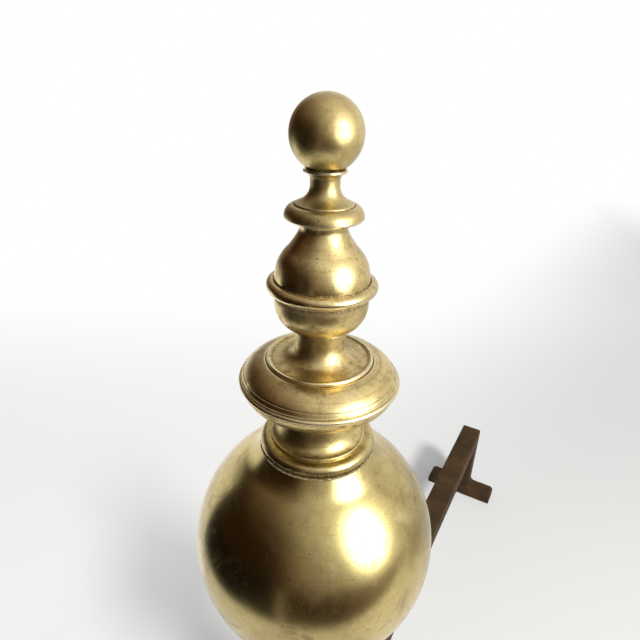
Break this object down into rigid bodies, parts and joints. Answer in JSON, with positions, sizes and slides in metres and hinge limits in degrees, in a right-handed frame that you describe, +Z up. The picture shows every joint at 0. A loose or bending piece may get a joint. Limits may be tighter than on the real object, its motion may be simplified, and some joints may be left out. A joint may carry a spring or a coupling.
{
  "type": "andiron",
  "caption": "Ball-top andiron: a turned brass column with a large ball, a disc and a small ball finial on arched front legs, and an iron bar that carries the logs back to a T-shaped foot.",
  "frame": {"origin": "on the hearth, in the middle of the andiron's footprint", "axes": "+Z up, -Y out of the fireplace on the side of the brass column, +Y back along the billet bar, +X across"},
  "size_m": [0.2388, 0.4596, 0.4917],
  "materials": {
    "turned_brass": "turned, worn polish with a brown patina in the grooves",
    "cast_brass": "cast and filed, worn polish",
    "wrought_iron": "forged, fire-scaled and rusted brown",
    "rod_iron": "dull bare iron"
  },
  "bodies": {
    "root": {"finial": "turned_brass", "vase_upper": "turned_brass", "vase_lower": "turned_brass", "disc_upper": "turned_brass", "disc_lower": "turned_brass", "collar_upper": "turned_brass", "ball_upper": "turned_brass", "ball_lower": "turned_brass", "collar_lower": "turned_brass", "stem_neck": "turned_brass", "stem_baluster": "turned_brass", "stem_base": "turned_brass", "plinth_cap": "cast_brass", "plinth_die": "cast_brass", "plinth_base": "cast_brass", "leg_left": "cast_brass", "leg_right": "cast_brass", "leg_pin_left": "cast_brass", "leg_pin_right": "cast_brass", "tie_rod": "rod_iron", "rod_washer": "rod_iron", "rod_nut": "rod_iron", "billet_bar": "wrought_iron", "rear_foot": "wrought_iron"}
  },
  "joints": []
}
